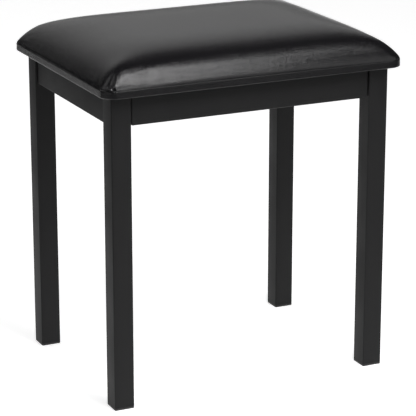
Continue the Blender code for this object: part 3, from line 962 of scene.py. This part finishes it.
def pleats(x, y, height):
    """Outward shift of the skin at a corner: a flat front panel, a slit, and the gathered skin beside it."""
    past_x = np.abs(x) - (HALF_X - CORNER)
    past_y = np.abs(y) - (HALF_Y - CORNER)
    near = mound(np.hypot(past_x, past_y), CORNER, FOLD_REACH)
    turn = corner_turn(x, y)
    slit_turn = np.radians(by_corner(x, y, SLIT_TURNS))
    from_slit = (turn - slit_turn) * CORNER + SLIT_LEAN * height
    from_start = (turn - LAP_START) * CORNER
    lap = LAP * smooth_step(from_start, 0, LAP_EASE) * smooth_step(from_slit, 0, -LAP_STEP)
    lap = lap * smooth_step(height, LAP_TOP, LAP_FOOT)
    panel_turn = np.clip((math.pi / 2 - turn) / (math.pi / 2 - slit_turn), 0, 1)
    panel = PANEL * panel_turn**2 * smooth_step(from_slit, -PANEL_STEP, PANEL_STEP)
    panel = panel * smooth_step(height, PANEL_TOP, PANEL_FOOT)
    pillow = PILLOW * mound(from_slit, PILLOW_PLACE[0], PILLOW_SIZE[0], 4)
    pillow = pillow * mound(height, PILLOW_PLACE[1], PILLOW_SIZE[1])
    knob = KNOB * mound(from_slit, KNOB_PLACE[0], KNOB_SIZE[0]) * mound(height, KNOB_PLACE[1], KNOB_SIZE[1])
    cut = mound(from_slit, 0, SLIT_WIDTH)
    above = smooth_step(height, *SLIT_RISE)
    fade = mound(np.clip(height, SLIT_FOOT, None), SLIT_FOOT, SLIT_HEIGHT)
    slit = SLIT_DEPTH * cut * fade * above + BAND_SLIT * cut * (1 - above)
    bulk = CORNER_BULK * np.clip(np.sin(2 * turn), 0, 1) * mound(height, BULK_HEIGHT, BULK_SIZE)
    folds = (lap + panel + pillow + knob - slit) * by_corner(x, y, SLIT_STRENGTHS)
    return np.where((past_x > 0) & (past_y > 0), (folds + bulk) * near, 0.0)


def scallops(x, y, height):
    """Slow swell between the staples' pulls, near the crease."""
    walk = around(x, y) + PULL_SHIFT_X * np.sign(x) + PULL_SHIFT_Y * np.sign(y)
    turn = 2 * math.pi * walk / STAPLE_PITCH
    wave = np.cos(turn) + 0.5 * np.cos(turn / 2.7 + 1.3)
    return PULL_DEPTH / 2 * wave * mound(height, PULL_HEIGHT, PULL_FADE)


def skin_grid(middle_x, middle_y, corner_cells):
    """Stations and points of the crown's outer skin, pushed out a little over the crease."""
    u, v = np.meshgrid(crowded(middle_x, corner_cells, HALF_X), crowded(middle_y, corner_cells, HALF_Y))
    x, y = plan(u, v, HALF_X - CREASE_TUCK, HALF_Y - CREASE_TUCK, CORNER - CREASE_TUCK)
    height = DOME_HEIGHT * crown(u, v)
    out_x, out_y = outward(x, y)
    rise = height / SWELL_HEIGHT
    swell = np.where(rise < 1, np.sin(np.minimum(rise, 1) * math.pi / 2), mound(rise, 1, SWELL_FADE))
    folds = (scallops(x, y, height) + pleats(x, y, height)) * np.minimum(rise * 4, 1)
    shift = CREASE_TUCK * swell + folds
    return u, v, np.stack([x + out_x * shift, y + out_y * shift, CREASE + height], -1)


def border_index(rows, columns):
    """Indices of a grid's outline, in order."""
    first = list(range(columns - 1))
    second = [j * columns + columns - 1 for j in range(rows - 1)]
    third = [(rows - 1) * columns + i for i in range(columns - 1, 0, -1)]
    fourth = [j * columns for j in range(rows - 1, 0, -1)]
    return first + second + third + fourth


def grid_faces(rows, columns):
    faces = []
    for j in range(rows - 1):
        for i in range(columns - 1):
            corner = j * columns + i
            faces.append((corner, corner + 1, corner + columns + 1, corner + columns))
    return faces


def spline(stations, values, wanted):
    """Natural cubic spline through the rows of values, read at the wanted stations."""
    gaps = np.diff(stations)
    count = len(stations)
    system = np.eye(count)
    right = np.zeros_like(values)
    slopes = np.diff(values, axis=0) / gaps[:, None]
    for i in range(1, count - 1):
        system[i, i - 1 : i + 2] = gaps[i - 1], 2 * (gaps[i - 1] + gaps[i]), gaps[i]
        right[i] = 6 * (slopes[i] - slopes[i - 1])
    bend = np.linalg.solve(system, right)
    cell = np.clip(np.searchsorted(stations, wanted) - 1, 0, count - 2)
    gap = gaps[cell][:, None]
    after = (wanted - stations[cell])[:, None] / gap
    before = 1 - after
    cubic = (before**3 - before) * bend[cell] + (after**3 - after) * bend[cell + 1]
    return before * values[cell] + after * values[cell + 1] + cubic * gap**2 / 6


def stretched_skin(u, v):
    """How far the skin moves, by cloth simulation, when it is stapled at its edge and the foam swells."""
    coarse_u, coarse_v, start = skin_grid(*SIMULATION_CELLS)
    rows, columns = coarse_u.shape
    points = start.reshape(-1, 3)
    mesh = bpy.data.meshes.new("skin_simulation")
    mesh.from_pydata(points.tolist(), [], grid_faces(rows, columns))
    skin = bpy.data.objects.new("skin_simulation", mesh)
    bpy.context.scene.collection.objects.link(skin)
    held = skin.vertex_groups.new(name="held")
    firmness = FOAM_HOLD_EDGE + (FOAM_HOLD_TOP - FOAM_HOLD_EDGE) * crown(coarse_u, coarse_v)
    for index, weight in enumerate(firmness.ravel().tolist()):
        held.add([index], weight, "REPLACE")
    held.add(border_index(rows, columns), 1.0, "REPLACE")
    cloth = skin.modifiers.new("cloth", "CLOTH")
    settings = cloth.settings
    settings.quality = 8
    settings.mass = 0.3
    settings.tension_stiffness = 25
    settings.compression_stiffness = 25
    settings.shear_stiffness = 10
    settings.bending_stiffness = 2
    settings.use_pressure = True
    settings.uniform_pressure_force = 4
    settings.effector_weights.gravity = 0
    settings.vertex_group_mass = "held"
    settings.shrink_min = SKIN_SHRINK
    cloth.point_cache.frame_end = SIMULATION_FRAMES
    for number in range(1, SIMULATION_FRAMES + 1):
        bpy.context.scene.frame_set(number)
    graph = bpy.context.evaluated_depsgraph_get()
    moved = np.empty(len(points) * 3)
    skin.evaluated_get(graph).data.vertices.foreach_get("co", moved)
    discard([skin])
    bpy.context.scene.frame_set(1)
    shift = moved.reshape(-1, 3) - points
    length = np.linalg.norm(shift, axis=1, keepdims=True)
    shift *= SIMULATION_CAP * np.tanh(length / SIMULATION_CAP) / np.maximum(length, 1e-9)
    shift = shift.reshape(rows, columns, 3)
    wide = spline(coarse_u[0], shift.transpose(1, 0, 2).reshape(columns, -1), u[0])
    wide = wide.reshape(-1, rows, 3).transpose(1, 0, 2)
    return spline(coarse_v[:, 0], wide.reshape(rows, -1), v[:, 0]).reshape(*u.shape, 3)


def skirt_profile():
    """Inset and height of the skin's rings from the crease down the board's edge to the flap's cut edge."""
    low = SEAT_LOW.z
    steps = [(CREASE_GROOVE, CREASE - 0.0002), (BAND_INSET + 0.0001, CREASE - 0.0005)]
    top = CREASE - BAND_TOP
    bottom = low + ROLL
    for share in BAND_SHARES:
        steps.append((BAND_INSET - BAND_LEAN * share, top + (bottom - top) * share))
    for i in range(1, ROLL_RINGS + 1):
        turn = i / ROLL_RINGS * math.pi / 2
        inset = BAND_INSET - BAND_LEAN + ROLL * (1 - math.cos(turn))
        steps.append((inset, low + ROLL * (1 - math.sin(turn))))
    steps += [(FLAP_PITCH * i, low) for i in (1, 2, 3)]
    steps.append((FLAP, low))
    return steps


def add_cover():
    """The whole skin: crown, crease, edge band with its corner folds, rolled lower edge and stapled flap."""
    u, v, points = skin_grid(*SKIN_CELLS)
    points = points + stretched_skin(u, v)
    rows, columns = u.shape
    points = [tuple(point) for point in points.reshape(-1, 3).tolist()]
    faces = grid_faces(rows, columns)
    edge = border_index(rows, columns)
    edge_u = u.reshape(-1)[edge]
    edge_v = v.reshape(-1)[edge]
    ring = edge
    for inset, level in skirt_profile():
        radius = max(CORNER - inset, FLAP_CORNER)
        x, y = on_outline(edge_u, edge_v, HALF_X - inset, HALF_Y - inset, radius)
        if inset < ROLL:
            out_x, out_y = outward(x, y)
            shift = pleats(x, y, np.full_like(x, level - CREASE)) * (1 - inset / ROLL)
            x = x + out_x * shift
            y = y + out_y * shift
        after = list(range(len(points), len(points) + len(edge)))
        points += zip(x.tolist(), y.tolist(), [level] * len(edge))
        for j in range(len(edge)):
            k = (j + 1) % len(edge)
            faces.append((ring[j], ring[k], after[k], after[j]))
        ring = after
    cover = mesh_object("seat_upholstery", points, faces, SKIN_SMOOTH_ANGLE)
    shell = cover.modifiers.new("thickness", "SOLIDIFY")
    shell.thickness = VINYL
    shell.offset = -1
    apply_modifiers(cover)
    cover.data.shade_smooth()
    cover.data.set_sharp_from_angle(angle=math.radians(SKIN_SMOOTH_ANGLE))
    finished(cover, "leatherette", "seat_cover")


def add_foam():
    """The pad under the skin: the same crown, a little smaller, on a flat base."""
    base = BOARD_HIGH.z + FOAM_GAP
    cells_x, cells_y, corner_cells = FOAM_CELLS
    u, v = np.meshgrid(crowded(cells_x, corner_cells, HALF_X), crowded(cells_y, corner_cells, HALF_Y))
    x, y = plan(u, v, HALF_X - FOAM_INSET, HALF_Y - FOAM_INSET, CORNER - FOAM_INSET)
    z = base + (DOME_HEIGHT - FOAM_INSET) * crown(u, v)
    rows, columns = u.shape
    faces = grid_faces(rows, columns)
    faces.append(tuple(border_index(rows, columns)))
    foam = mesh_object("foam_pad", np.stack([x, y, z], -1).reshape(-1, 3).tolist(), faces, 50)
    finished(foam, "foam", "seat_foam")


def add_dust_cloth():
    """A thin sheet under the board, slightly slack inside the aprons, with a hole at each seat screw."""
    low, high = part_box("dust_cover")
    half_x = high.x
    half_y = high.y
    cells_x, cells_y = CLOTH_CELLS
    u, v = np.meshgrid(np.linspace(-1, 1, cells_x + 1), np.linspace(-1, 1, cells_y + 1))
    x, y = plan(u, v, half_x, half_y, CLOTH_CORNER)
    inner_x = abs(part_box("apron_left")[1].x)
    inner_y = abs(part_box("apron_front")[1].y)
    slack_x = np.clip(1 - (np.abs(x) / inner_x) ** 2, 0, None)
    slack_y = np.clip(1 - (np.abs(y) / inner_y) ** 2, 0, None)
    ripple = CLOTH_RIPPLE * np.sin(x * 61 + 2.1 * np.sin(y * 23)) * np.sin(y * 47 + 1.7 * np.sin(x * 19))
    z = low.z + 0.0001 + (ripple - CLOTH_SAG) * np.sqrt(slack_x * slack_y)
    points = np.stack([x, y, z], -1).reshape(-1, 3).tolist()
    cloth = mesh_object("dust_cloth", points, grid_faces(cells_y + 1, cells_x + 1), 50)
    shell = cloth.modifiers.new("thickness", "SOLIDIFY")
    shell.thickness = CLOTH_THICKNESS
    shell.offset = 1
    apply_modifiers(cloth)
    holes = [hole_tool(f"seat_washer_{corner}", None, CLOTH_HOLE) for corner in CORNERS]
    drill(cloth, holes)
    discard(holes)
    finished(cloth, "nonwoven", "dust_cover")


def staple_mesh(points, faces, place):
    """One staple's crown, a flat wire with bent ends."""
    half = STAPLE_WIDTH / 2
    flat = half - STAPLE_BEND
    wire = STAPLE_WIRE / 2
    under = -STAPLE_THICKNESS
    profile = ((-half, STAPLE_BEND), (-flat, 0.0), (flat, 0.0), (half, STAPLE_BEND))
    start = len(points)
    for along, lift in profile:
        for across, drop in ((-wire, 0), (wire, 0), (wire, under), (-wire, under)):
            points.append(place @ Vector((along, across, drop + lift)))
    for i in range(len(profile) - 1):
        here = start + 4 * i
        for j in range(4):
            k = (j + 1) % 4
            faces.append((here + j, here + k, here + 4 + k, here + 4 + j))
    last = start + 4 * (len(profile) - 1)
    faces.append((start, start + 1, start + 2, start + 3))
    faces.append((last, last + 1, last + 2, last + 3))


def add_staples():
    """Staples round the underside, just inside the dust cloth's edge."""
    rng = np.random.default_rng(7)
    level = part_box("dust_cover")[0].z + 0.00005
    x = HALF_X - STAPLE_INSET
    y = HALF_Y - STAPLE_INSET
    points = []
    faces = []
    for half, other, angle in ((x, y, 0), (y, x, 90)):
        count = int(2 * (half - STAPLE_MARGIN) / STAPLE_PITCH)
        for side in (-1, 1):
            for i in range(count + 1):
                along = (i - count / 2) * STAPLE_PITCH + rng.uniform(-STAPLE_WANDER, STAPLE_WANDER)
                skew = math.radians(angle + rng.uniform(-STAPLE_SKEW, STAPLE_SKEW))
                spot = (along, side * other) if angle == 0 else (side * other, along)
                place = Matrix.Translation((*spot, level)) @ Matrix.Rotation(skew, 4, "Z")
                staple_mesh(points, faces, place)
    staples = mesh_object("staples", points, faces, 40)
    finished(staples, "zinc_steel")


def finish_board():
    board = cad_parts["seat_board"]
    board.data.materials.clear()
    board.data.materials.append(FINISH["plywood"])


# Studio


def add_floor():
    corners = [(x * FLOOR_HALF, y * FLOOR_HALF, 0) for x, y in ((-1, -1), (1, -1), (1, 1), (-1, 1))]
    thing = mesh_object("studio_floor", corners, [(0, 1, 2, 3)])
    thing.data.materials.append(studio_floor())


def heading(azimuth, elevation):
    """Unit direction. Azimuth is from +Y towards +X, in degrees."""
    turn = math.radians(azimuth)
    rise = math.radians(elevation)
    return Vector((math.sin(turn) * math.cos(rise), math.cos(turn) * math.cos(rise), math.sin(rise)))


def add_world():
    """A plain pale backdrop to the camera, and a dim room with broad pale areas in reflections."""
    world = bpy.data.worlds.new("studio")
    bpy.context.scene.world = world
    world.use_nodes = True
    tree = world.node_tree
    direction = tree.nodes.new("ShaderNodeTexCoord").outputs["Generated"]
    total = None
    for azimuth, elevation, inner, outer, radiance in PALE_AREAS:
        facing = tree.nodes.new("ShaderNodeVectorMath")
        facing.operation = "DOT_PRODUCT"
        facing.inputs[1].default_value = heading(azimuth, elevation)
        tree.links.new(direction, facing.inputs[0])
        lobe = tree.nodes.new("ShaderNodeMapRange")
        lobe.interpolation_type = "SMOOTHSTEP"
        lobe.inputs["From Min"].default_value = math.cos(math.radians(outer))
        lobe.inputs["From Max"].default_value = math.cos(math.radians(inner))
        lobe.inputs["To Max"].default_value = radiance
        tree.links.new(facing.outputs["Value"], lobe.inputs["Value"])
        added = tree.nodes.new("ShaderNodeMath")
        tree.links.new(lobe.outputs["Result"], added.inputs[0])
        added.inputs[1].default_value = ROOM_GREY
        if total:
            tree.links.new(total, added.inputs[1])
        total = added.outputs[0]
    seen = tree.nodes.new("ShaderNodeMix")
    seen.data_type = "RGBA"
    tree.links.new(tree.nodes.new("ShaderNodeLightPath").outputs["Is Camera Ray"], seen.inputs["Factor"])
    tree.links.new(total, seen.inputs[6])
    seen.inputs[7].default_value = (BACKDROP, BACKDROP, BACKDROP, 1)
    tree.links.new(seen.outputs[2], tree.nodes["Background"].inputs["Color"])
    bpy.context.scene.view_settings.view_transform = "Standard"


def add_softbox(name, azimuth, elevation, distance, size, radiance, spread=SOFTBOX_SPREAD, glossy=True):
    """A rectangular light that faces the seat from this direction. A grid narrows its spread."""
    half = math.radians(spread / 2)
    narrowing = 1 - half / math.tan(half)
    away = heading(azimuth, elevation)
    data = bpy.data.lights.new(name, "AREA")
    data.shape = "RECTANGLE"
    data.size, data.size_y = size
    data.energy = radiance * narrowing * math.pi * size[0] * size[1]
    data.spread = math.radians(spread)
    light = bpy.data.objects.new(name, data)
    bpy.context.scene.collection.objects.link(light)
    light.location = Vector((0, 0, SEAT_HIGH.z)) + away * distance
    light.rotation_euler = (-away).to_track_quat("-Z", "Y").to_euler()
    light.visible_camera = False
    light.visible_glossy = glossy


def add_studio():
    add_world()
    add_floor()
    for name, box in SOFTBOXES.items():
        add_softbox(name, *box)
    add_softbox("ceiling", *CEILING, spread=CEILING_SPREAD, glossy=False)


def build():
    for corner in CORNERS:
        add_leg(corner)
        add_foot(corner)
    for side in ("front", "right", "rear", "left"):
        add_apron(side)
    add_fasteners()
    finish_board()
    add_cover()
    add_foam()
    add_dust_cloth()
    add_staples()
    add_studio()


build()
